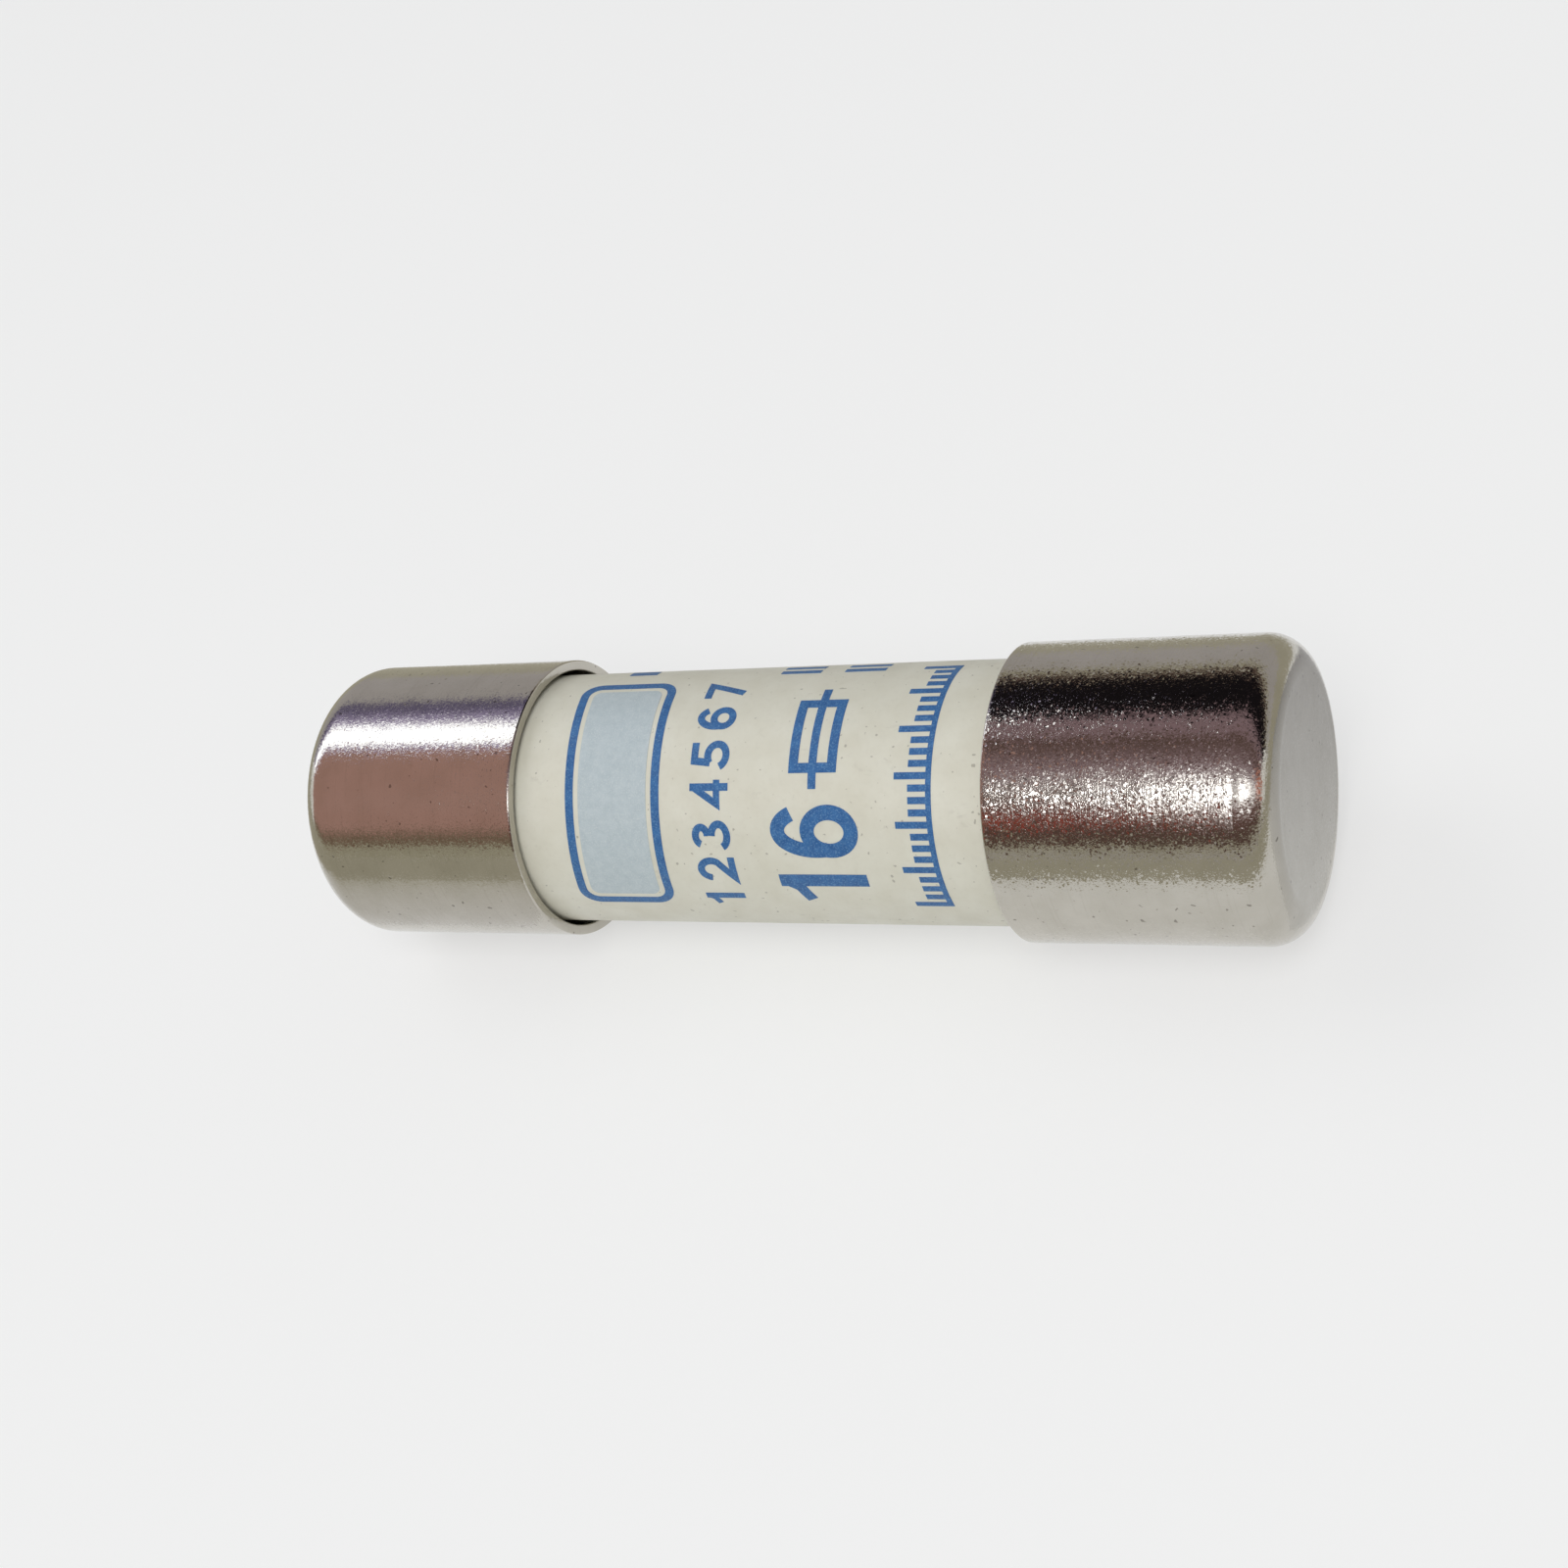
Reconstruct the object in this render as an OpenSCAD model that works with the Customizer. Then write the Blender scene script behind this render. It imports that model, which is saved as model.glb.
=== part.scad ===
// Cylindrical cartridge fuse-link, laid along X with its middle at the origin.
// A ceramic tube is closed at both ends by a thin inner cap, and a thicker contact cap goes over each one.
// A punched strip runs through quartz sand from end to end and is soldered between the two caps.

/* [Whole fuse] */
// Length over the two contact caps
fuse_len = 37.4; // [30:0.2:60]
// Outside diameter of the contact caps
cap_d = 10.4; // [8:0.1:16]

/* [Contact caps] */
// Length of a contact cap
cap_len = 9.6; // [7:0.2:13]
// Sheet thickness of a contact cap
cap_sheet = 0.38; // [0.26:0.02:0.5]
// Outside radius of the bend from the barrel to the end face
cap_corner_r = 1.3; // [0.8:0.05:1.6]
// Radius worn onto both edges of the cap's mouth
mouth_edge_r = 0.06; // [0.02:0.01:0.1]

/* [Inner caps] */
// Length of an inner cap
inner_cap_len = 5; // [3:0.25:6]
// Sheet thickness of an inner cap
inner_sheet = 0.15; // [0.1:0.01:0.25]

/* [Ceramic tube] */
// Wall of the tube
tube_wall = 1.3; // [1:0.05:1.6]

/* [Seal washers] */
// Thickness of the fibre washer between the tube and the inner cap
washer_t = 0.3; // [0.2:0.05:0.5]

/* [Fuse strip] */
// Width of the strip
strip_w = 2.4; // [1.8:0.1:3.2]
// Thickness of the strip
strip_t = 0.1; // [0.06:0.01:0.2]
// Length of the tail that is bent flat on each inner cap
tail_len = 2; // [1.4:0.1:2.6]
// Number of rows of punchings along the strip
neck_rows = 5; // [1:1:5]
// Distance from one row of punchings to the next
neck_pitch = 5; // [3.4:0.1:6]
// Diameter of the round hole in the middle of a row
neck_hole_d = 1; // [0.6:0.05:1.2]
// Width of strip left on each side of the hole
neck_w = 0.2; // [0.12:0.01:0.3]

/* [Solder] */
// Bare ring left between the edge of the solder and the bend of the contact cap
solder_margin = 0.7; // [0.3:0.05:1.2]
// Thickness of the solder layer
solder_t = 0.35; // [0.25:0.05:0.5]

/* [Clearances] */
// Radial clearance between the tube and an inner cap, and between the two caps
cap_fit = 0.01; // [0.01:0.01:0.04]
// Clearance all round the strip where it passes through a slot
slot_clear = 0.1; // [0.05:0.01:0.2]
// Radial clearance between a washer and the inner cap's inside corner
washer_clear = 0.05; // [0.02:0.01:0.15]
// Radial clearance between the sand column and the tube's bore
sand_clear = 0.01; // [0.01:0.01:0.05]

/* [Hidden] */
$fn = 96;

// The two ends, as the direction of X in which each one points
LEFT = -1;
RIGHT = 1;

// How far a cut runs past the face that it opens
CUT = 0.5;

// Radii, from the contact cap inwards
cap_r = cap_d / 2;
inner_cap_r = cap_r - cap_sheet - cap_fit;
tube_r = inner_cap_r - inner_sheet - cap_fit;
bore_r = tube_r - tube_wall;
sand_r = bore_r - sand_clear;

// Each bend is the inside of the bend around it, so that the caps and the tube's edge nest at any size
inner_corner_r = cap_corner_r - cap_sheet;
tube_edge_r = inner_corner_r - inner_sheet;
washer_r = inner_cap_r - inner_corner_r - washer_clear;
solder_r = cap_r - cap_corner_r - solder_margin;

// Distances from the middle of the fuse to one end's faces, from the outside inwards
end_face = fuse_len / 2;
solder_face = end_face - cap_sheet;
inner_cap_face = solder_face - solder_t;
washer_face = inner_cap_face - inner_sheet;
tube_face = washer_face - washer_t;

// Half-round notch in the strip's edges, which leaves neck_w beside the hole
notch_r = strip_w / 2 - neck_hole_d / 2 - neck_w;

// Turns what is drawn along +Z so that it points out of one end of the fuse
module towards(end) {
    rotate([0, end * 90, 0])
        children();
}

// What a corner rounded to radius r leaves outside it, with the centre of the round at the origin
module corner_cut(r) {
    difference() {
        square(r + CUT);
        circle(r);
    }
}

// Solid round bar from z = 0 to z = len, whose far edge is rounded
module round_ended_bar(r, len, edge_r) {
    rotate_extrude()
        difference() {
            square([r, len]);
            translate([r - edge_r, len - edge_r])
                corner_cut(edge_r);
        }
}

// Drawn cup whose end face is at z = face and whose mouth looks down
module drawn_cup(r, len, sheet, corner_r, face) {
    translate([0, 0, face - len])
        difference() {
            round_ended_bar(r, len, corner_r);
            translate([0, 0, -CUT])
                round_ended_bar(r - sheet, len - sheet + CUT, corner_r - sheet);
        }
}

// Rings to cut away, which round the outer and the inner edge of a cap's mouth at z = 0
module mouth_edges(r, sheet, edge_r) {
    rotate_extrude() {
        translate([r - edge_r, edge_r])
            mirror([0, 1])
                corner_cut(edge_r);
        translate([r - sheet + edge_r, edge_r])
            mirror([1, 0])
                mirror([0, 1])
                    corner_cut(edge_r);
    }
}

// Slot through which the strip leaves, cut from z = low to z = high
module strip_slot(low, high) {
    slot_t = strip_t + 2 * slot_clear;
    slot_w = strip_w + 2 * slot_clear;
    translate([-slot_t / 2, -slot_w / 2, low])
        cube([slot_t, slot_w, high - low]);
}

// Glazed ceramic body, open at both ends
module ceramic_tube() {
    color("ivory")
        difference() {
            union() {
                towards(LEFT)
                    round_ended_bar(tube_r, tube_face, tube_edge_r);
                towards(RIGHT)
                    round_ended_bar(tube_r, tube_face, tube_edge_r);
            }
            translate([-tube_face - CUT, 0, 0])
                towards(RIGHT)
                    cylinder(r = bore_r, h = 2 * (tube_face + CUT));
        }
}

// Nickel-plated outer cap that the fuse holder's clip grips
module contact_cap(end) {
    color("silver")
        towards(end)
            difference() {
                drawn_cup(cap_r, cap_len, cap_sheet, cap_corner_r, end_face);
                translate([0, 0, end_face - cap_len])
                    mouth_edges(cap_r, cap_sheet, mouth_edge_r);
            }
}

// Thin cap pressed straight onto the tube, with a slot for the strip
module inner_cap(end) {
    color("darkgoldenrod")
        towards(end)
            difference() {
                drawn_cup(inner_cap_r, inner_cap_len, inner_sheet, inner_corner_r, inner_cap_face);
                strip_slot(washer_face - CUT, inner_cap_face + CUT);
            }
}

// Fibre disc that keeps the sand in, with a slot for the strip
module seal_washer(end) {
    color("tan")
        towards(end)
            difference() {
                translate([0, 0, tube_face])
                    cylinder(r = washer_r, h = washer_t);
                strip_slot(tube_face - CUT, washer_face + CUT);
            }
}

// Outline of the strip between its two bends, flat in the XY plane
module strip_outline() {
    first_row = -(neck_rows - 1) / 2 * neck_pitch;
    difference() {
        square([2 * inner_cap_face, strip_w], center = true);
        for (row = [0 : neck_rows - 1])
            translate([first_row + row * neck_pitch, 0]) {
                circle(d = neck_hole_d);
                for (edge = [-1, 1])
                    translate([0, edge * strip_w / 2])
                        circle(r = notch_r);
            }
    }
}

// Straight run of the strip through the sand
module strip_run() {
    translate([0, 0, -strip_t / 2])
        linear_extrude(height = strip_t)
            strip_outline();
}

// Tail of the strip, bent flat on the outside of an inner cap
module strip_tail(end) {
    towards(end)
        translate([-strip_t / 2, -strip_w / 2, inner_cap_face])
            cube([tail_len, strip_w, strip_t]);
}

// Silver strip, whose punched rows of necks melt first
module fuse_strip() {
    color("gainsboro")
        union() {
            strip_run();
            strip_tail(LEFT);
            strip_tail(RIGHT);
        }
}

// Solder that joins the strip's tail and both caps
module solder_joint(end) {
    color("slategray")
        difference() {
            towards(end)
                translate([0, 0, inner_cap_face])
                    cylinder(r = solder_r, h = solder_t);
            strip_tail(end);
        }
}

// Sand column that fills the bore and the strip's punchings
module quartz_sand() {
    color("wheat")
        difference() {
            translate([-tube_face, 0, 0])
                towards(RIGHT)
                    cylinder(r = sand_r, h = 2 * tube_face);
            strip_run();
        }
}

ceramic_tube();
contact_cap(LEFT);  // contact_cap_left
contact_cap(RIGHT);  // contact_cap_right
inner_cap(LEFT);  // inner_cap_left
inner_cap(RIGHT);  // inner_cap_right
seal_washer(LEFT);  // seal_washer_left
seal_washer(RIGHT);  // seal_washer_right
fuse_strip();
solder_joint(LEFT);  // solder_joint_left
solder_joint(RIGHT);  // solder_joint_right
quartz_sand();
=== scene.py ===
"""Cartridge fuse with a glazed ceramic tube and two nickel-plated contact caps.

Lengths are in metres. Only the print, which is laid out on the flat, the noise in the materials
and the camera's lens go by millimetres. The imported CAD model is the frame: the tube's axis is X,
the middle is the origin and +Z is up.
"""

import math

import bmesh
import bpy
from mathutils import Matrix, Vector
from mathutils.geometry import delaunay_2d_cdt


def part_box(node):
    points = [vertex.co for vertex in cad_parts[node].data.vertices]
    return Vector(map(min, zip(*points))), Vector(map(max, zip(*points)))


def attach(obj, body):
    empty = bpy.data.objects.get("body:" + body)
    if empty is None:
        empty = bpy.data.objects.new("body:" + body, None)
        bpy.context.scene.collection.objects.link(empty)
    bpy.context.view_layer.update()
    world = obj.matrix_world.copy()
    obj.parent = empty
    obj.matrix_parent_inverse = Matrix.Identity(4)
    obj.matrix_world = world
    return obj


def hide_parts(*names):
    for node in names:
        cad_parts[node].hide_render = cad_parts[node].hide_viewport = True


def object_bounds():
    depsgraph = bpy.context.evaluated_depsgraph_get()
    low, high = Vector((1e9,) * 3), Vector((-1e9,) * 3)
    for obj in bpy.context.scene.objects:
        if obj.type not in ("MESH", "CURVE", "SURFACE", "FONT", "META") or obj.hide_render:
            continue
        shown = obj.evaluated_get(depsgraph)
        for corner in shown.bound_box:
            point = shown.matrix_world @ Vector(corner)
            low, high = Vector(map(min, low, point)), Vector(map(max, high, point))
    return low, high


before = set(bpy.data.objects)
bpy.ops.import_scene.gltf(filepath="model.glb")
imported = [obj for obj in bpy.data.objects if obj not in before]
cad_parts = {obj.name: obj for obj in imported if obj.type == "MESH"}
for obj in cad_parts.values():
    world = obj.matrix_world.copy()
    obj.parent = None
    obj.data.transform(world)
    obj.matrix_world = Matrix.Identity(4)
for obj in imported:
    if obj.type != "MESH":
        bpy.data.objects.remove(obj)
cad_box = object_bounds()
scene = bpy.context.scene
MM = 0.001


# ---------------------------------------------------------------- sizes from the CAD frame
CAP_LO, CAP_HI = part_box("contact_cap_right")
_, TUBE_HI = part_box("ceramic_tube")
END_X = CAP_HI[0]
MOUTH_X = CAP_LO[0]
CAP_R = CAP_HI[1]
TUBE_X = TUBE_HI[0]
TUBE_R = TUBE_HI[1]
FLOOR_Z = cad_box[0][2]

CAP_SHEET = 0.38 * MM
CAP_CORNER = 1.3 * MM
CAP_RIPPLE = 0.004 * MM
FACE_STEP, FACE_DISH = 0.006 * MM, 0.03 * MM
FACE_STEP_START, FACE_STEP_END = 0.05 * MM, 0.15 * MM
MOUTH_EDGE = 0.06 * MM
TUBE_WALL = 1.3 * MM
TUBE_EDGE = 0.77 * MM
TUBE_RIPPLE = 0.003 * MM
INK_PROUD = 0.012 * MM
INK_SUNK = 0.006 * MM


# ---------------------------------------------------------------- node helpers
class Nodes:
    """A short way to write one material's or world's node tree."""

    def __init__(self, tree):
        self.tree = tree
        tree.nodes.clear()

    def add(self, kind, **values):
        node = self.tree.nodes.new(kind)
        for key, value in values.items():
            if hasattr(node, key):
                setattr(node, key, value)
            else:
                self.put(node.inputs[key.replace("_", " ")], value)
        return node

    def put(self, socket, value):
        if isinstance(value, bpy.types.NodeSocket):
            self.tree.links.new(value, socket)
        elif value is not None:
            socket.default_value = value

    def math(self, operation, a, b):
        node = self.tree.nodes.new("ShaderNodeMath")
        node.operation = operation
        self.put(node.inputs[0], a)
        self.put(node.inputs[1], b)
        return node.outputs[0]

    def vector(self, operation, a, b=None):
        node = self.tree.nodes.new("ShaderNodeVectorMath")
        node.operation = operation
        self.put(node.inputs[0], a)
        self.put(node.inputs[1], b)
        return node.outputs[0]

    def stretch(self, vector, factors):
        return self.vector("MULTIPLY", vector, factors)

    def noise(self, vector, scale, detail=2.0, rough=0.5, warp=0.0):
        node = self.tree.nodes.new("ShaderNodeTexNoise")
        self.put(node.inputs["Vector"], vector)
        node.inputs["Scale"].default_value = scale
        node.inputs["Detail"].default_value = detail
        node.inputs["Roughness"].default_value = rough
        node.inputs["Distortion"].default_value = warp
        return node.outputs["Fac"]

    def remap(self, value, lo, hi, to_lo=0.0, to_hi=1.0):
        node = self.tree.nodes.new("ShaderNodeMapRange")
        self.put(node.inputs["Value"], value)
        node.inputs["From Min"].default_value = lo
        node.inputs["From Max"].default_value = hi
        node.inputs["To Min"].default_value = to_lo
        node.inputs["To Max"].default_value = to_hi
        return node.outputs["Result"]

    def mix(self, factor, a, b):
        node = self.tree.nodes.new("ShaderNodeMix")
        node.data_type = "RGBA"
        self.put(node.inputs[0], factor)
        self.put(node.inputs[6], a)
        self.put(node.inputs[7], b)
        return node.outputs[2]

    def bump(self, height, distance, normal=None):
        node = self.tree.nodes.new("ShaderNodeBump")
        self.put(node.inputs["Height"], height)
        self.put(node.inputs["Normal"], normal)
        node.inputs["Distance"].default_value = distance
        node.inputs["Strength"].default_value = 1.0
        return node.outputs["Normal"]

    def facets(self, vector, scale, tilt, share):
        """A normal for tiny grains that each lean their own way, most of them very little.

        The tilt is the furthest that one leans, and the share scales it from place to place.
        """
        cell = self.add("ShaderNodeTexVoronoi", Vector=vector, Scale=scale).outputs["Color"]
        lean = self.vector("SUBTRACT", cell, (0.5, 0.5, 0.5))
        square = self.vector("MULTIPLY", lean, lean)
        fifth = self.vector("MULTIPLY", lean, self.vector("MULTIPLY", square, square))
        lean = self.vector("MULTIPLY", self.stretch(fifth, (32 * tilt,) * 3), share)
        flat = self.tree.nodes.new("ShaderNodeNewGeometry").outputs["Normal"]
        return self.vector("NORMALIZE", self.vector("ADD", flat, lean))

    def place_mm(self):
        """The point on the object, in millimetres, in the CAD frame."""
        where = self.tree.nodes.new("ShaderNodeTexCoord").outputs["Object"]
        return self.stretch(where, (1 / MM, 1 / MM, 1 / MM))

    def background_seen(self):
        """1 for the rays that see the pale background: camera, glossy and transmission rays."""
        path = self.tree.nodes.new("ShaderNodeLightPath").outputs
        seen = self.math("MAXIMUM", path["Is Camera Ray"], path["Is Glossy Ray"])
        return self.math("MAXIMUM", seen, path["Is Transmission Ray"])

    def mix_shader(self, factor, a, b):
        node = self.tree.nodes.new("ShaderNodeMixShader")
        for socket, value in zip(node.inputs, (factor, a, b)):
            self.put(socket, value)
        return node.outputs[0]

    def finish(self, **values):
        shader = self.tree.nodes.new("ShaderNodeBsdfPrincipled")
        for key, value in values.items():
            self.put(shader.inputs[key.replace("_", " ")], value)
        out = self.tree.nodes.new("ShaderNodeOutputMaterial")
        self.tree.links.new(shader.outputs[0], out.inputs["Surface"])


def material(name):
    made = bpy.data.materials.new(name)
    made.use_nodes = True
    return made, Nodes(made.node_tree)


def srgb(red, green, blue):
    """A colour written 0 to 255, as a linear colour."""
    def linear(c):
        c /= 255
        return c / 12.92 if c <= 0.04045 else ((c + 0.055) / 1.055) ** 2.4
    return (linear(red), linear(green), linear(blue), 1.0)


# ---------------------------------------------------------------- materials
NICKEL_TONE = srgb(195, 191, 182)


def nickel():
    """Bright nickel plate: fine grain that sparkles, draw lines round the barrel, wear, specks."""
    made, nodes = material("nickel_plate")
    place = nodes.place_mm()
    grain = nodes.noise(place, 8.0, 1.5, 0.6)
    fine = nodes.noise(place, 19.0, 1.0)
    cloud = nodes.noise(place, 0.9, 3.0)
    draw = nodes.noise(nodes.stretch(place, (9.0, 0.3, 0.3)), 1.0, 3.0, 0.6)
    streak = nodes.noise(nodes.stretch(place, (0.5, 5.0, 0.4)), 1.0, 3.0, 0.6)
    scratch = nodes.noise(nodes.stretch(place, (1.0, 6.0, 6.0)), 1.0, 2.0, 0.5, 1.2)
    speck = nodes.noise(place, 5.5, 0.0)
    tone = nodes.mix(nodes.remap(cloud, 0.35, 0.7), NICKEL_TONE, srgb(188, 184, 174))
    tone = nodes.mix(nodes.remap(draw, 0.58, 0.78, 0.0, 0.3), tone, srgb(168, 163, 153))
    smudge = nodes.noise(nodes.stretch(place, (1.3, 1.9, 1.6)), 1.0, 5.0, 0.7, 0.8)
    tone = nodes.mix(nodes.remap(smudge, 0.62, 0.8, 0.0, 0.35), tone, srgb(158, 151, 138))
    tone = nodes.mix(nodes.remap(speck, 0.80, 0.84, 0.0, 0.6), tone, srgb(92, 84, 76))
    shine = nodes.remap(cloud, 0.3, 0.7, 0.05, 0.08)
    shine = nodes.math("ADD", shine, nodes.remap(fine, 0.55, 0.75, 0.0, 0.10))
    shine = nodes.math("ADD", shine, nodes.remap(scratch, 0.62, 0.72, 0.0, 0.08))
    shine = nodes.math("ADD", shine, nodes.remap(streak, 0.5, 0.8, 0.0, 0.05))
    # The grains stand out most on the right-hand cap's barrel, and little on its end face.
    along = nodes.add("ShaderNodeSeparateXYZ", Vector=place).outputs["X"]
    coarse = nodes.remap(along, -2.0, 2.0, 0.5, 1.0)
    end = END_X / MM
    coarse = nodes.math("MULTIPLY", coarse, nodes.remap(along, end - 0.8, end - 0.1, 1.0, 0.3))
    relief = nodes.bump(grain, 0.0028 * MM, nodes.facets(place, 15.0, 0.10, coarse))
    relief = nodes.bump(nodes.remap(fine, 0.52, 0.75), 0.0018 * MM, relief)
    relief = nodes.bump(draw, 0.004 * MM, relief)
    nodes.finish(Base_Color=tone, Metallic=1.0, Roughness=shine, Normal=relief)
    return made


def glaze():
    """Cream glazed ceramic: faint mottling, a little dirt, pinholes and a soft satin shine."""
    made, nodes = material("glazed_ceramic")
    place = nodes.place_mm()
    mottle = nodes.noise(place, 0.8, 4.0)
    small = nodes.noise(place, 5.0, 3.0)
    smear = nodes.noise(nodes.stretch(place, (0.9, 1.6, 1.6)), 1.0, 5.0, 0.65, 0.6)
    pin = nodes.noise(place, 6.5, 0.0)
    tone = nodes.mix(nodes.remap(mottle, 0.3, 0.7), srgb(220, 218, 203), srgb(212, 209, 192))
    tone = nodes.mix(nodes.remap(small, 0.5, 0.8, 0.0, 0.25), tone, srgb(201, 197, 180))
    tone = nodes.mix(nodes.remap(smear, 0.64, 0.78, 0.0, 0.45), tone, srgb(176, 170, 156))
    tone = nodes.mix(nodes.remap(pin, 0.80, 0.84, 0.0, 0.5), tone, srgb(120, 112, 98))
    relief = nodes.bump(small, 0.0035 * MM)
    relief = nodes.bump(nodes.noise(place, 1.1, 2.0), 0.012 * MM, relief)
    shine = nodes.remap(mottle, 0.3, 0.7, 0.40, 0.52)
    nodes.finish(Base_Color=tone, Roughness=shine, Normal=relief, IOR=1.5,
                 Coat_Weight=0.12, Coat_Roughness=0.3)
    return made


def ink(name, dark, light, worn):
    """Printed ink: mottled, thin in places so that the glaze shows a little."""
    made, nodes = material(name)
    place = nodes.place_mm()
    blotch = nodes.noise(place, 3.2, 4.0, 0.65)
    dots = nodes.noise(place, 17.0, 2.0, 0.6)
    tone = nodes.mix(nodes.remap(blotch, 0.35, 0.68), dark, light)
    tone = nodes.mix(nodes.remap(dots, 0.50, 0.70, 0.0, 0.75), tone, worn)
    relief = nodes.bump(dots, 0.002 * MM)
    shine = nodes.remap(blotch, 0.3, 0.7, 0.42, 0.56)
    nodes.finish(Base_Color=tone, Roughness=shine, Normal=relief)
    return made


def brass():
    """The inner caps: dull drawn brass."""
    made, nodes = material("inner_cap_metal")
    place = nodes.place_mm()
    draw = nodes.noise(nodes.stretch(place, (8.0, 0.4, 0.4)), 1.0, 3.0)
    cloud = nodes.noise(place, 1.4, 4.0)
    tone = nodes.mix(nodes.remap(cloud, 0.3, 0.7), srgb(196, 164, 98), srgb(160, 124, 66))
    nodes.finish(Base_Color=tone, Metallic=1.0, Roughness=nodes.remap(draw, 0.3, 0.7, 0.24, 0.42),
                 Normal=nodes.bump(draw, 0.004 * MM))
    return made


def fibre():
    """The seal washers: pressed grey fibre board."""
    made, nodes = material("fibre")
    place = nodes.place_mm()
    strand = nodes.noise(nodes.stretch(place, (1.0, 6.0, 1.5)), 1.0, 5.0, 0.6, 1.0)
    tone = nodes.mix(nodes.remap(strand, 0.3, 0.7), srgb(196, 186, 164), srgb(150, 138, 116))
    nodes.finish(Base_Color=tone, Roughness=nodes.remap(strand, 0.3, 0.7, 0.8, 0.95),
                 Normal=nodes.bump(strand, 0.02 * MM))
    return made


def silver():
    """The fuse strip: rolled silver, lines along the strip."""
    made, nodes = material("silver_strip")
    place = nodes.place_mm()
    rolled = nodes.noise(nodes.stretch(place, (0.5, 14.0, 14.0)), 1.0, 3.0, 0.6)
    tarnish = nodes.noise(place, 0.8, 4.0)
    tone = nodes.mix(nodes.remap(tarnish, 0.4, 0.75), srgb(232, 230, 224), srgb(198, 186, 160))
    nodes.finish(Base_Color=tone, Metallic=1.0, Roughness=nodes.remap(rolled, 0.3, 0.7, 0.2, 0.38),
                 Normal=nodes.bump(rolled, 0.003 * MM))
    return made


def solder():
    """The solder joints: grey, lumpy and a little crystalline."""
    made, nodes = material("solder")
    place = nodes.place_mm()
    lump = nodes.noise(place, 1.6, 3.0)
    crystal = nodes.noise(place, 9.0, 4.0, 0.7)
    tone = nodes.mix(nodes.remap(crystal, 0.35, 0.7), srgb(168, 168, 166), srgb(122, 122, 122))
    nodes.finish(Base_Color=tone, Metallic=1.0, Roughness=nodes.remap(crystal, 0.3, 0.7, 0.3, 0.55),
                 Normal=nodes.bump(lump, 0.08 * MM, nodes.bump(crystal, 0.01 * MM)))
    return made


def sand():
    """The filling: packed pale quartz grains, with shade painted into the gaps between them."""
    made, nodes = material("quartz_sand")
    place = nodes.place_mm()
    cell = nodes.add("ShaderNodeTexVoronoi", Vector=place, Scale=4.0)
    tint = nodes.noise(place, 3.0, 3.0)
    tone = nodes.mix(nodes.remap(tint, 0.35, 0.65), srgb(222, 212, 190), srgb(186, 170, 142))
    # Darker towards each grain's rim: painted shade in the gaps between the grains.
    edge = cell.outputs["Distance"]
    tone = nodes.mix(nodes.remap(edge, 0.35, 0.7, 0.0, 0.5), tone, srgb(120, 106, 84))
    nodes.finish(Base_Color=tone, Roughness=nodes.remap(tint, 0.3, 0.7, 0.45, 0.75),
                 Normal=nodes.bump(nodes.math("SUBTRACT", 1.0, edge), 0.09 * MM))
    return made


# ---------------------------------------------------------------- mesh helpers
def piece(name, points, faces, finish, smooth=True):
    """A mesh that rides on the fuse, with one material."""
    mesh = bpy.data.meshes.new(name)
    mesh.from_pydata(points, [], faces)
    tidy = bmesh.new()
    tidy.from_mesh(mesh)
    bmesh.ops.recalc_face_normals(tidy, faces=tidy.faces)
    tidy.to_mesh(mesh)
    tidy.free()
    mesh.polygons.foreach_set("use_smooth", [smooth] * len(mesh.polygons))
    made = bpy.data.objects.new(name, mesh)
    scene.collection.objects.link(made)
    mesh.materials.append(finish)
    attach(made, "root")
    return made


def lathe(name, profile, finish, steps=288):
    """Turns a closed profile of (x, radius) round X; a radius of 0 is one point on the axis."""
    points, rings = [], []
    for x, radius in profile:
        if radius == 0:
            rings.append([len(points)])
            points.append((x, 0, 0))
            continue
        rings.append(range(len(points), len(points) + steps))
        for k in range(steps):
            turn = 2 * math.pi * k / steps
            points.append((x, radius * math.cos(turn), radius * math.sin(turn)))
    faces = []
    for a, b in zip(rings, rings[1:] + rings[:1]):
        if len(a) == 1 and len(b) == 1:
            continue
        for k in range(steps):
            quad = [a[k % len(a)], a[(k + 1) % len(a)], b[(k + 1) % len(b)], b[k % len(b)]]
            faces.append([v for i, v in enumerate(quad) if v not in quad[:i]])
    return piece(name, points, faces, finish)


def arc(x, radius, size, start, end, steps):
    """Points of a quarter bend round (x, radius), angles in degrees from +X towards +radius."""
    turns = (math.radians(start + (end - start) * k / steps) for k in range(steps + 1))
    return [(x + size * math.cos(t), radius + size * math.sin(t)) for t in turns]


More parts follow.
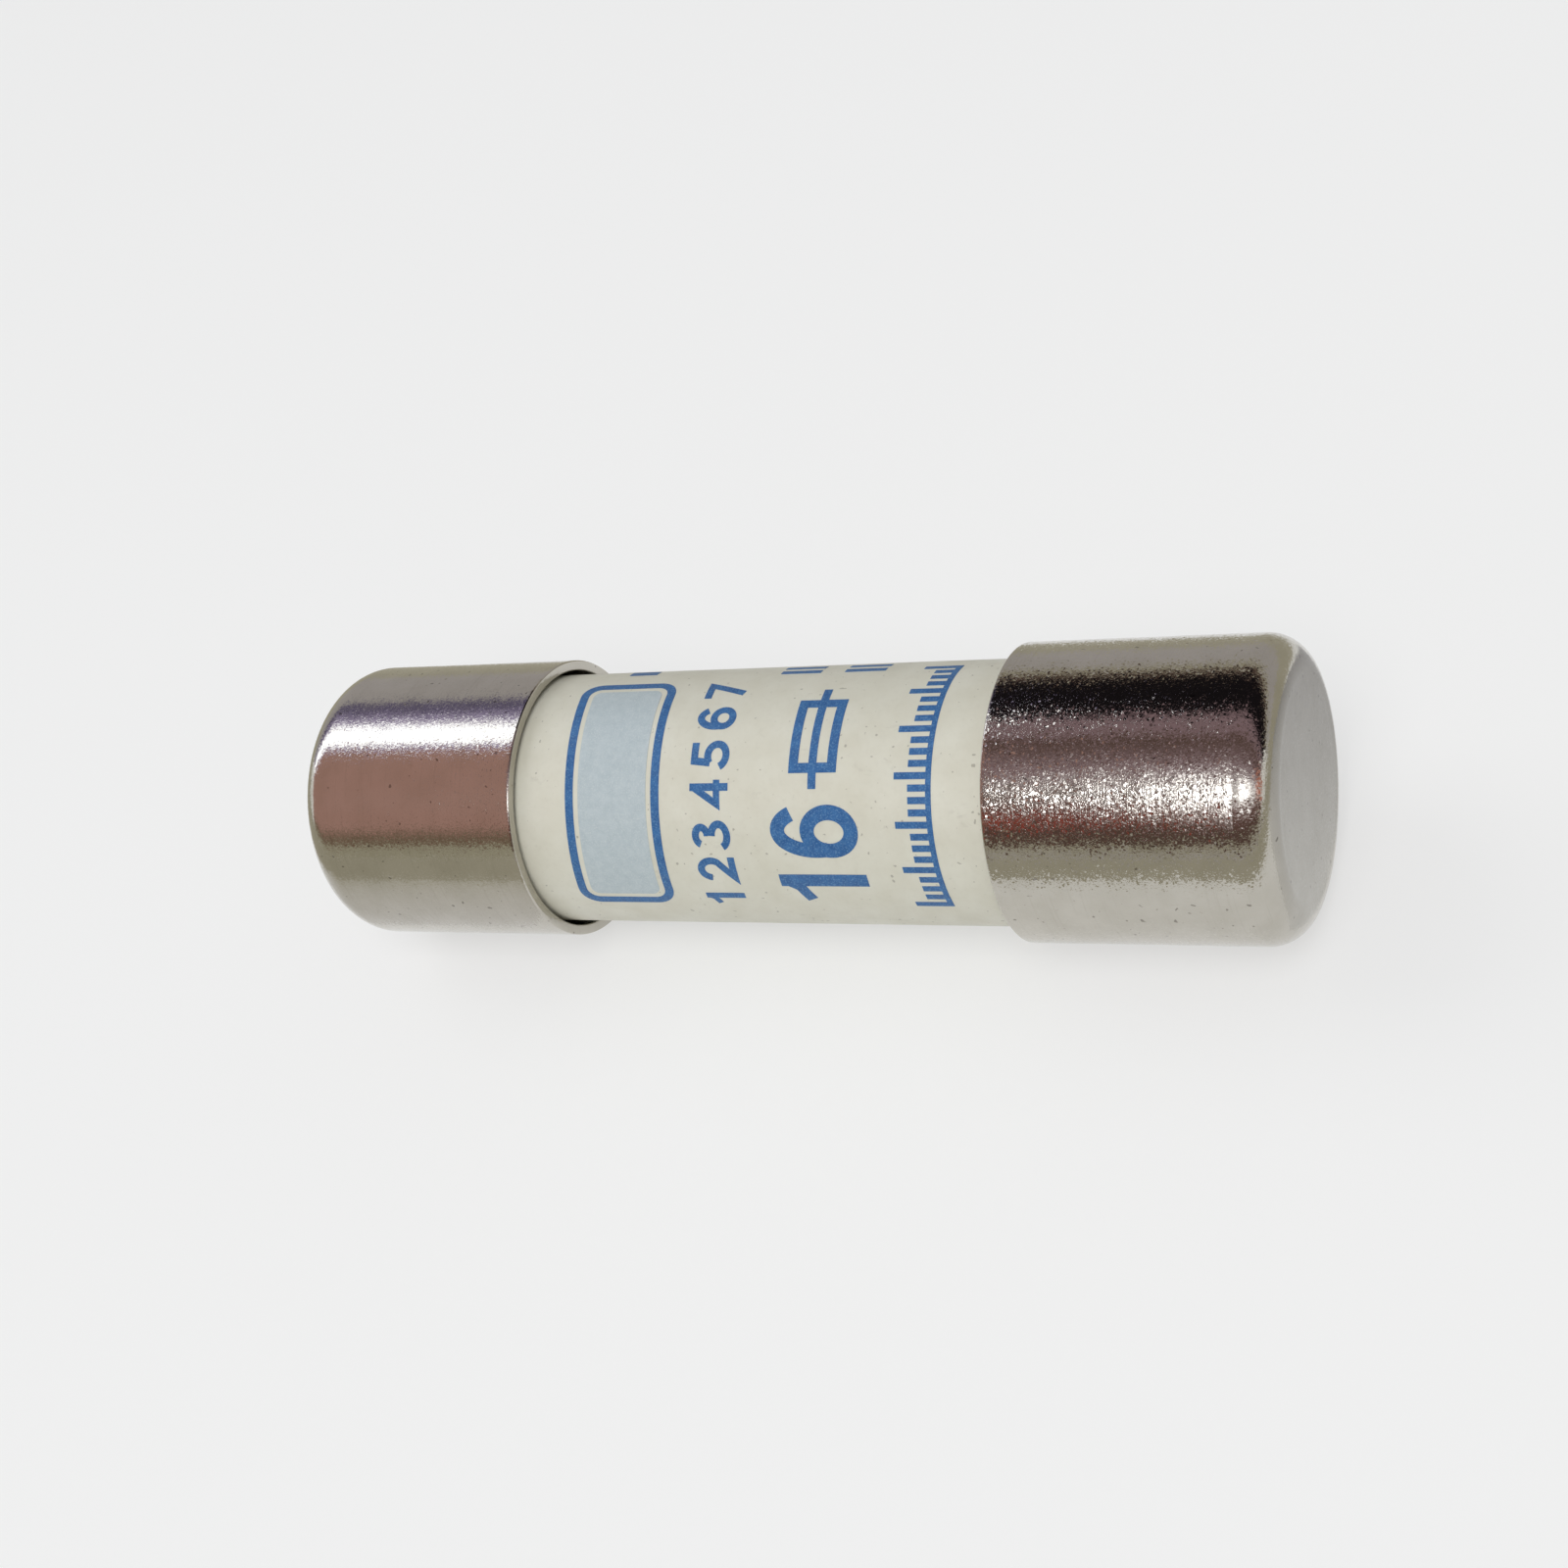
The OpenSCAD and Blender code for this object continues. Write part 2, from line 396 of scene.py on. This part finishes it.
def cap_profile():
    """The right-hand contact cap, drawn from sheet: mouth, barrel, corner, end face, inside."""
    inner_r = CAP_R - CAP_SHEET
    inner_corner = CAP_CORNER - CAP_SHEET
    barrel_end = END_X - CAP_CORNER
    outline = arc(MOUTH_X + MOUTH_EDGE, inner_r + MOUTH_EDGE, MOUTH_EDGE, 270, 180, 6)
    outline += arc(MOUTH_X + MOUTH_EDGE, CAP_R - MOUTH_EDGE, MOUTH_EDGE, 180, 90, 6)
    rows = 60
    for k in range(1, rows):
        along = k / rows
        x = MOUTH_X + MOUTH_EDGE + (barrel_end - MOUTH_X - MOUTH_EDGE) * along
        wave = 0.5 - 0.5 * math.cos(2 * math.pi * (3.3 * along + 0.4 * math.sin(9 * along)))
        outline.append((x, CAP_R - CAP_RIPPLE * wave * math.sin(math.pi * along)))
    outline += arc(barrel_end, CAP_R - CAP_CORNER, CAP_CORNER, 90, 0, 28)
    face_r = CAP_R - CAP_CORNER
    outline.append((END_X - FACE_STEP / 4, face_r - FACE_STEP_START))
    face_r -= FACE_STEP_END
    outline.append((END_X - FACE_STEP, face_r))
    rings = 16
    for k in range(1, rings):
        out = 1 - k / rings
        hollow = FACE_STEP + FACE_DISH * (0.5 + 0.5 * math.cos(math.pi * out))
        outline.append((END_X - hollow, face_r * out))
    outline.append((END_X - FACE_STEP - FACE_DISH, 0))
    outline.append((END_X - CAP_SHEET, 0))
    outline += arc(barrel_end, inner_r - inner_corner, inner_corner, 0, 90, 10)
    return outline


def mirrored(profile):
    return [(-x, radius) for x, radius in profile]


def tube_profile():
    """The ceramic tube: rounded outer edges, a bore, and a glaze that isn't quite even."""
    bore = TUBE_R - TUBE_WALL
    outline = arc(-TUBE_X + TUBE_EDGE, TUBE_R - TUBE_EDGE, TUBE_EDGE, 180, 90, 12)
    rows = 120
    reach = TUBE_X - TUBE_EDGE
    for k in range(1, rows):
        along = -1 + 2 * k / rows
        dip = 0.5 - 0.5 * math.cos(2 * math.pi * (2.2 * along + 0.3 * math.sin(5 * along)))
        outline.append((reach * along, TUBE_R - TUBE_RIPPLE * dip))
    outline += arc(reach, TUBE_R - TUBE_EDGE, TUBE_EDGE, 90, 0, 12)
    return outline + [(TUBE_X, bore), (-TUBE_X, bore)]


NICKEL = nickel()
for side, profile in (("right", cap_profile()), ("left", mirrored(cap_profile()))):
    cap = lathe("cap_shell_" + side, profile, NICKEL)
    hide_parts("contact_cap_" + side)
tube = lathe("tube_body", tube_profile(), glaze())
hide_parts("ceramic_tube")

INSIDE = {
    "inner_cap": brass(),
    "seal_washer": fibre(),
    "fuse_strip": silver(),
    "solder_joint": solder(),
    "quartz_sand": sand(),
}
for name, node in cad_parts.items():
    for start, finish in INSIDE.items():
        if name.startswith(start):
            node.data.materials.clear()
            node.data.materials.append(finish)


# ---------------------------------------------------------------- print on the tube
# Print is drawn flat first, in mm: the first number runs round the tube in the reading
# direction and the second towards the left cap. Angle 0 faces the front and 90 the top.
# The rows bow a little: away from the middle angle they lag, most at the left end.
PRINT_MIDDLE = 52.0
PRINT_HALF = 57.0
PRINT_BOW = 0.45
PRINT_REACH = 7.0
PRINT_PITCH = 0.16  # between the cuts that let the print follow the tube

BLUE_INK = ink("blue_print", srgb(32, 86, 142), srgb(52, 108, 164), srgb(102, 146, 184))
PALE_INK = ink("pale_print", srgb(176, 189, 193), srgb(188, 199, 202), srgb(200, 208, 208))


def at_angle(degrees):
    """How far round the tube an angle is, in mm."""
    return math.radians(degrees) * TUBE_R / MM


def stroke(path, width, closed=False):
    """A line of even width along a path, as one quad a step."""
    path = [Vector(p) for p in path]
    count = len(path)
    left, right = [], []
    for k, point in enumerate(path):
        before = path[k - 1] if closed or k else None
        after = path[(k + 1) % count] if closed or k < count - 1 else None
        into = (point - before).normalized() if before else (after - point).normalized()
        out = (after - point).normalized() if after else into
        side = Vector((-into.y - out.y, into.x + out.x)).normalized()
        side *= width / 2 / max(0.35, side.dot(Vector((-into.y, into.x))))
        left.append(point + side)
        right.append(point - side)
    steps = range(count if closed else count - 1)
    return [[right[k], right[(k + 1) % count], left[(k + 1) % count], left[k]] for k in steps]


def bend(cx, cy, rx, ry, start, end, steps=24):
    """Points of an elliptical arc, angles in degrees."""
    turns = (math.radians(start + (end - start) * k / steps) for k in range(steps + 1))
    return [(cx + rx * math.cos(t), cy + ry * math.sin(t)) for t in turns]


def rounded(x0, x1, y0, y1, corner):
    """A rounded rectangle's outline, anticlockwise."""
    corners = ((x1, y1, 0), (x0, y1, 90), (x0, y0, 180), (x1, y0, 270))
    points = []
    for x, y, start in corners:
        cx = x - corner if x == x1 else x + corner
        cy = y - corner if y == y1 else y + corner
        points += bend(cx, cy, corner, corner, start, start + 90, 8)
    return points


def block(x0, x1, y0, y1):
    """A plain rectangle's outline, anticlockwise."""
    return [(x0, y0), (x1, y0), (x1, y1), (x0, y1)]


def digit(value, wide, tall, bold):
    """A plain numeral's strokes in a box of wide by tall, with its left foot at the origin."""
    half = bold / 2
    right, top = wide - half, tall - half
    middle = wide / 2
    if value == 1:
        return stroke([(right, 0), (right, tall)], bold) + stroke(
            [(0.02 * wide, 0.70 * tall), (0.55 * wide, 0.79 * tall), (right, 0.93 * tall)],
            bold * 0.8)
    if value == 2:
        path = bend(middle, top - 0.28 * tall, middle - half, 0.28 * tall, 172, -38)
        return stroke(path + [(half * 1.1, half), (wide, half)], bold)
    if value == 3:
        upper = bend(middle - half / 2, 0.755 * tall, middle - 1.3 * half, 0.245 * tall - half,
                     165, -90)
        lower = bend(middle - half / 2, 0.29 * tall, middle - 0.5 * half, 0.29 * tall - half,
                     90, -165)
        return stroke(upper, bold) + stroke(lower, bold)
    if value == 4:
        stem = 0.74 * wide
        return (stroke([(stem, 0), (stem, tall)], bold)
                + stroke([(stem, top), (half, 0.30 * tall), (wide, 0.30 * tall)], bold * 0.92))
    if value == 5:
        bowl = bend(middle - half / 2, 0.33 * tall, middle - 0.5 * half, 0.33 * tall - half,
                    128, -160)
        return stroke([(0.93 * wide, top), (0.24 * wide, top), (0.17 * wide, 0.50 * tall)],
                      bold) + stroke(bowl, bold)
    if value == 6:
        bowl = bend(middle, 0.33 * tall, middle - half, 0.33 * tall - half, 0, 360, 40)[:-1]
        back = bend(middle + 0.03 * wide, 0.5 * tall, middle - half + 0.03 * wide, top - 0.5 * tall,
                    38, 200)
        return stroke(bowl, bold, True) + stroke(back, bold)
    return stroke([(half * 0.6, top), (right, top), (0.34 * wide, 0)], bold)


def shifted(shapes, along, up):
    return [[(x + along, y + up) for x, y in shape] for shape in shapes]


def wrap(name, shapes, finish):
    """Joins flat shapes into one, wraps it round the tube and gives it a skin on both sides."""
    points, loops = [], []
    for shape in shapes:
        area = sum(a[0] * b[1] - b[0] * a[1] for a, b in zip(shape, shape[1:] + shape[:1]))
        loops.append(list(range(len(points), len(points) + len(shape))))
        points += [Vector(p) for p in (shape if area > 0 else shape[::-1])]
    corners, _, triangles, _, _, sources = delaunay_2d_cdt(points, [], loops, 0, 1e-5)
    flat = bmesh.new()
    verts = [flat.verts.new((x, y, 0)) for x, y in corners]
    for triangle, source in zip(triangles, sources):
        if source:
            flat.faces.new([verts[k] for k in triangle])
    bmesh.ops.delete(flat, geom=[v for v in flat.verts if not v.link_faces], context="VERTS")
    low = min(v.co.x for v in flat.verts)
    high = max(v.co.x for v in flat.verts)
    cut = math.floor(low / PRINT_PITCH) + 1
    while cut * PRINT_PITCH < high:
        bmesh.ops.bisect_plane(flat, geom=flat.verts[:] + flat.edges[:] + flat.faces[:],
                               dist=1e-5, plane_co=(cut * PRINT_PITCH, 0, 0),
                               plane_no=(1, 0, 0))
        cut += 1
    bmesh.ops.remove_doubles(flat, verts=flat.verts, dist=1e-4)
    bmesh.ops.triangulate(flat, faces=flat.faces)
    flat.verts.index_update()
    points = []
    for radius in (TUBE_R + INK_PROUD, TUBE_R - INK_SUNK):
        for v in flat.verts:
            turn = v.co.x * MM / TUBE_R
            lag = ((math.degrees(turn) - PRINT_MIDDLE) / PRINT_HALF) ** 2
            lag *= PRINT_BOW * (v.co.y + PRINT_REACH) / (2 * PRINT_REACH)
            points.append((-(v.co.y + lag) * MM, -radius * math.cos(turn),
                           radius * math.sin(turn)))
    count = len(flat.verts)
    faces = []
    for face in flat.faces:
        ring = [v.index for v in face.verts]
        faces += [ring, [k + count for k in reversed(ring)]]
    for edge in flat.edges:
        if len(edge.link_faces) == 1:
            a, b = (v.index for v in edge.verts)
            faces.append([a, b, b + count, a + count])
    flat.free()
    piece(name, points, faces, finish, smooth=False)


FRAME_ANGLES = (-4.8, 111.5)
FRAME_UP = (3.21, 7.05)
FRAME_STROKE = 0.33
FRAME_CORNER = 0.8
PANEL_GAP, PANEL_CORNER = 0.2, 0.35

low, high = (at_angle(a) for a in FRAME_ANGLES)
base, top = FRAME_UP
inset = FRAME_STROKE / 2
wrap("print_frame", stroke(rounded(low + inset, high - inset, base + inset, top - inset,
                                   FRAME_CORNER - inset), FRAME_STROKE, True), BLUE_INK)
inset = FRAME_STROKE + PANEL_GAP
wrap("print_panel", [rounded(low + inset, high - inset, base + inset, top - inset,
                             PANEL_CORNER)], PALE_INK)

DIGIT_ANGLES = (-1.0, 16.5, 33.5, 51.0, 68.5, 86.0, 103.0)
DIGIT_SIZE = (0.98, 1.5)
DIGIT_BOLD = 0.27
DIGIT_BASE = 0.47
ONE_WIDE = 0.6
shapes = []
for value, degrees in enumerate(DIGIT_ANGLES, 1):
    wide = DIGIT_SIZE[0] * (ONE_WIDE if value == 1 else 1)
    start = at_angle(degrees) - wide / 2
    shapes += shifted(digit(value, wide, DIGIT_SIZE[1], DIGIT_BOLD), start, DIGIT_BASE)
wrap("print_numbers", shapes, BLUE_INK)

RATING_BASE, RATING_TALL, RATING_BOLD = -4.4, 3.3, 0.53
RATING = ((1, -1.5, 1.25), (6, 22.5, 1.9))  # digit, angle of its left side, width
shapes = []
for value, degrees, wide in RATING:
    shapes += shifted(digit(value, wide, RATING_TALL, RATING_BOLD), at_angle(degrees), RATING_BASE)
wrap("print_rating", shapes, BLUE_INK)

# The drawing symbol for a fuse: a box with a line through it from end to end.
SYMBOL_LINE, SYMBOL_BOX = (52.5, 101.5), (61.5, 92.5)
SYMBOL_TALL, SYMBOL_BOLD, SYMBOL_LINE_BOLD = 1.8, 0.35, 0.3
middle = RATING_BASE + RATING_TALL / 2
half = (SYMBOL_TALL - SYMBOL_BOLD) / 2
low, high = (at_angle(a) for a in SYMBOL_BOX)
outline = block(low, high, middle - half, middle + half)
low, high = (at_angle(a) for a in SYMBOL_LINE)
half = SYMBOL_LINE_BOLD / 2
line = block(low, high, middle - half, middle + half)
wrap("print_symbol", stroke(outline, SYMBOL_BOLD, True) + [line], BLUE_INK)

TICKS = 25
TICK_ANGLES = (-4.0, 119.0)
TICK_BASE, TICK_WIDE = -7.15, 0.24
TICK_LONG, TICK_SHORT, TICK_GROUP = 1.35, 0.85, 4
TICK_LINE = 0.2
shapes = []
for k in range(TICKS):
    centre = at_angle(TICK_ANGLES[0] + (TICK_ANGLES[1] - TICK_ANGLES[0]) * k / (TICKS - 1))
    tall = TICK_SHORT if k % TICK_GROUP else TICK_LONG
    shapes.append(block(centre - TICK_WIDE / 2, centre + TICK_WIDE / 2, TICK_BASE,
                        TICK_BASE + tall))
low, high = (at_angle(a) for a in TICK_ANGLES)
shapes.append(block(low - TICK_WIDE / 2, high + TICK_WIDE / 2, TICK_BASE,
                    TICK_BASE + TICK_LINE))
wrap("print_scale", shapes, BLUE_INK)

# Small dashes round the back of the top edge: first and last angle, bottom and top.
MARKS = ((123.5, 131.0, 4.5, 5.6), (117.5, 121.0, -2.0, -0.5), (124.5, 128.0, -2.0, -0.5),
         (117.5, 121.0, -4.4, -2.9), (124.5, 128.0, -4.4, -2.9))
shapes = [block(at_angle(a), at_angle(b), lo, hi) for a, b, lo, hi in MARKS]
wrap("print_marks", shapes, BLUE_INK)


# ---------------------------------------------------------------- floor
FLOOR_HALF = 3.0
FLOOR_WHITE = 0.5  # how much plain white the camera and the reflections see in it


def floor():
    """A pale floor that keeps the object's shadow."""
    made, nodes = material("floor")
    diffuse = nodes.add("ShaderNodeBsdfDiffuse", Color=srgb(238, 238, 236)).outputs[0]
    white = nodes.add("ShaderNodeEmission", Color=(1, 1, 1, 1), Strength=1.0).outputs[0]
    share = nodes.math("MULTIPLY", nodes.background_seen(), FLOOR_WHITE)
    out = nodes.add("ShaderNodeOutputMaterial")
    nodes.put(out.inputs["Surface"], nodes.mix_shader(share, diffuse, white))
    mesh = bpy.data.meshes.new("floor")
    corners = [(-FLOOR_HALF, -FLOOR_HALF), (FLOOR_HALF, -FLOOR_HALF),
               (FLOOR_HALF, FLOOR_HALF), (-FLOOR_HALF, FLOOR_HALF)]
    mesh.from_pydata([(x, y, FLOOR_Z) for x, y in corners], [], [(0, 1, 2, 3)])
    mesh.materials.append(made)
    ground = bpy.data.objects.new("floor", mesh)
    scene.collection.objects.link(ground)


floor()


# ---------------------------------------------------------------- studio cards
# Coloured cards that only the reflections see. A card is a patch of a wide sphere round the
# object: "rise" goes from the front horizon (0) over the top (90) to the back horizon (180),
# and "side" is the X part of its direction. Colours are written as the nickel shows them.
CARD_DISTANCE = 0.4
NEAR_DISTANCE = 0.38  # for what shows in front of the cards
WIDEST_SIDE = 0.95


def shown(red, green, blue, strength=1.0):
    """The colour a card needs so that the nickel shows this one."""
    return tuple(strength * a / b for a, b in zip(srgb(red, green, blue), NICKEL_TONE))[:3] + (1,)


def toward(distance, side, rise):
    """The point at a distance from the object's middle, in the direction of a side and rise."""
    turn, reach = math.radians(rise), distance * math.sqrt(1 - side * side)
    return (distance * side, -reach * math.cos(turn), reach * math.sin(turn))


def grid(rows, columns):
    """The faces of a grid whose points go row by row."""
    faces = []
    for i in range(rows):
        for j in range(columns):
            a = i * (columns + 1) + j
            faces.append((a, a + 1, a + columns + 2, a + columns + 1))
    return faces


def glow(name, points, faces, colours, clear=False):
    """A staged sheet that gives off one colour a point; a clear one adds to what is behind it."""
    made, nodes = material(name)
    tint = nodes.add("ShaderNodeAttribute", attribute_name="tint")
    light = nodes.add("ShaderNodeEmission", Color=tint.outputs["Color"], Strength=1.0).outputs[0]
    if clear:
        both = nodes.add("ShaderNodeAddShader")
        nodes.put(both.inputs[0], light)
        nodes.put(both.inputs[1], nodes.add("ShaderNodeBsdfTransparent").outputs[0])
        light = both.outputs[0]
    nodes.put(nodes.add("ShaderNodeOutputMaterial").inputs["Surface"], light)
    mesh = bpy.data.meshes.new(name)
    mesh.from_pydata(points, [], faces)
    store = mesh.attributes.new("tint", "FLOAT_COLOR", "POINT")
    store.data.foreach_set("color", [c for colour in colours for c in colour])
    mesh.materials.append(made)
    sheet = bpy.data.objects.new(name, mesh)
    scene.collection.objects.link(sheet)
    sheet.visible_camera = sheet.visible_diffuse = False
    sheet.visible_shadow = sheet.visible_transmission = False


def card(name, side, stops, distance=CARD_DISTANCE, columns=12):
    """A patch whose colour changes with the rise; stops are (rise, colour)."""
    rises = []
    for (a, _), (b, _) in zip(stops, stops[1:]):
        steps = max(1, round((b - a) / 3))
        rises += [a + (b - a) * k / steps for k in range(steps)]
    rises.append(stops[-1][0])
    points, colours = [], []
    for rise in rises:
        k = max(0, min(len(stops) - 2, sum(stop[0] <= rise for stop in stops) - 1))
        (a, first), (b, last) = stops[k], stops[k + 1]
        part = (rise - a) / (b - a)
        for j in range(columns + 1):
            along = side[0] + (side[1] - side[0]) * j / columns
            points.append(toward(distance, along, rise))
            colours.append([p + (q - p) * part for p, q in zip(first, last)])
    glow(name, points, grid(len(rises) - 1, columns), colours)


WHITE, STONE, OLIVE = shown(255, 255, 250, 1.5), shown(138, 132, 126), shown(132, 126, 106)
BROWN, CLAY, UMBER = shown(96, 80, 64), shown(140, 108, 96), shown(72, 56, 48)
LILAC, PLUM, MAUVE = shown(140, 128, 150), shown(82, 75, 92), shown(112, 92, 93)
RUST, NIGHT = shown(84, 52, 45), shown(18, 15, 16)
card("card_left", (-0.97, -0.45), [
    (-0.6, OLIVE), (10, OLIVE), (12, BROWN), (17, BROWN), (27, CLAY), (89, CLAY), (95, LILAC),
    (101, WHITE), (109, WHITE), (120, LILAC), (132, PLUM), (139, PLUM), (144, STONE), (181, STONE),
])
card("card_right", (-0.45, 0.97), [
    (-0.6, STONE), (8, OLIVE), (11, UMBER), (18, UMBER), (36, RUST), (48, UMBER), (66, MAUVE),
    (88, UMBER), (93, MAUVE), (103, MAUVE), (110, NIGHT), (140, NIGHT), (146, UMBER), (152, OLIVE),
    (158, STONE), (181, STONE),
], columns=28)


def halo(name, side, rise, spread, peak):
    """A clear patch that is brightest in the middle and fades out; spread is (side, degrees)."""
    reach, rows = 6, 36
    points, colours = [], []
    for i in range(rows + 1):
        up = reach * (2 * i / rows - 1)
        for j in range(rows + 1):
            out = reach * (2 * j / rows - 1)
            along = max(-WIDEST_SIDE, min(WIDEST_SIDE, side + spread[0] * out))
            points.append(toward(NEAR_DISTANCE, along, rise + spread[1] * up))
            fade = max(0, math.exp(-math.hypot(up, out)) - math.exp(-reach))
            colours.append([peak * fade * c for c in shown(255, 252, 246)[:3]] + [1])
    glow(name, points, grid(rows, rows), colours, clear=True)


halo("card_flash", -0.155, 47, (0.028, 5.0), 11.0)
halo("card_flash_edge", 0.5, 48, (0.2, 4.5), 3.3)
halo("card_spot", -0.328, 54, (0.006, 5.0), 0.9)

EMBER, RED = shown(150, 92, 72), shown(122, 52, 40)
card("card_ember", (0.90, 0.985), [(40, EMBER), (74, EMBER)], NEAR_DISTANCE, 2)
card("card_red", (-0.40, -0.312), [(22, RED), (34, RED)], NEAR_DISTANCE, 2)

# The big mat, a sheet of painted floor shade seen only in reflections, leaves an oval free: its
# middle's X, and half its length and width.
SHADE_MIDDLE, SHADE_HALF = 0.006, (0.039, 0.0235)
SHADE_OUTER = 0.42  # the big mat's outer radius
SHADE_LIFT = 0.3 * MM  # how high it lies over the floor


def surround(name, colour, steps=64):
    """A darker sheet round the oval of bright floor that the object lies on: painted shade on the
    floor further out, seen only in reflections.
    """
    turns = [2 * math.pi * k / steps for k in range(steps)]
    z = FLOOR_Z + SHADE_LIFT
    points = [(SHADE_MIDDLE + SHADE_HALF[0] * math.cos(t), SHADE_HALF[1] * math.sin(t), z)
              for t in turns]
    points += [(SHADE_OUTER * math.cos(t), SHADE_OUTER * math.sin(t), z) for t in turns]
    faces = []
    for k in range(steps):
        after = (k + 1) % steps
        faces.append((k, after, steps + after, steps + k))
    glow(name, points, faces, [colour] * len(points))


# Painted shade: the floor further from the object shows darker in the caps.
surround("shade_sheet_far", shown(134, 128, 110))


def patch(name, x, y, front, back):
    """A small sheet of painted floor shade beside the object, seen only in reflections, with one
    colour at its front and one at its back.
    """
    z = FLOOR_Z + 2 * SHADE_LIFT
    corners = [(x[0], y[0], z), (x[1], y[0], z), (x[1], y[1], z), (x[0], y[1], z)]
    glow(name, corners, [(0, 1, 2, 3)], [front, front, back, back])


# Painted shadow on the floor beside the right-hand end, and painted shade on the floor in front of
# the left-hand end, as the caps reflect them.
patch("shadow_sheet_right", (0.019, 0.046), (-0.004, 0.016), shown(168, 165, 157),
      shown(122, 119, 115))
patch("shade_sheet_left", (-0.034, -0.012), (-0.0188, -0.005), shown(152, 147, 132),
      shown(172, 168, 160))


# ---------------------------------------------------------------- light
def soft_light(name, place, size, power):
    """A round area lamp that faces the object and isn't seen in reflections."""
    lamp = bpy.data.lights.new(name, "AREA")
    lamp.shape, lamp.size, lamp.energy = "DISK", size, power
    holder = bpy.data.objects.new(name, lamp)
    holder.location = place
    holder.rotation_mode = "QUATERNION"
    holder.rotation_quaternion = (-Vector(place)).to_track_quat("-Z", "Y")
    scene.collection.objects.link(holder)
    holder.visible_glossy = False


soft_light("key", (0.12, -0.34, 0.52), 0.45, 2.1)
soft_light("fill", (-0.45, 0.1, 0.45), 0.5, 0.7)

SKY_STRENGTH = 0.42
BACKDROP_STRENGTH = 0.95


def studio_world():
    """An even pale sky, which the camera and the reflections see as a near-white backdrop."""
    world = bpy.data.worlds.new("studio")
    world.use_nodes = True
    nodes = Nodes(world.node_tree)
    sky = nodes.add("ShaderNodeBackground", Color=srgb(236, 238, 242), Strength=SKY_STRENGTH)
    backdrop = nodes.add("ShaderNodeBackground", Color=(1, 1, 1, 1),
                         Strength=BACKDROP_STRENGTH)
    both = nodes.mix_shader(nodes.background_seen(), sky.outputs[0], backdrop.outputs[0])
    nodes.put(nodes.add("ShaderNodeOutputWorld").inputs["Surface"], both)
    scene.world = world


studio_world()


# ---------------------------------------------------------------- camera
AIM = Vector((0.79, -0.83, -1.15)) * MM
DISTANCE = 85.36 * MM
AZIMUTH, ELEVATION, ROLL = 37.31, 44.60, -28.37
LENS, SENSOR = 54.02, 36.0  # in millimetres
SHIFT = (-0.025, 0.031)

turn, rise = math.radians(AZIMUTH), math.radians(ELEVATION)
back = Vector((math.sin(turn) * math.cos(rise), -math.cos(turn) * math.cos(rise), math.sin(rise)))
lens = bpy.data.cameras.new("camera")
lens.lens, lens.sensor_width = LENS, SENSOR
lens.shift_x, lens.shift_y = SHIFT
lens.clip_start, lens.clip_end = 0.002, 20
camera = bpy.data.objects.new("camera", lens)
camera.location = AIM + back * DISTANCE
level = (-back).to_track_quat("-Z", "Y").to_matrix()
camera.rotation_euler = (level @ Matrix.Rotation(math.radians(ROLL), 3, "Z")).to_euler()
scene.collection.objects.link(camera)
scene.camera = camera
scene.view_settings.view_transform = "Standard"
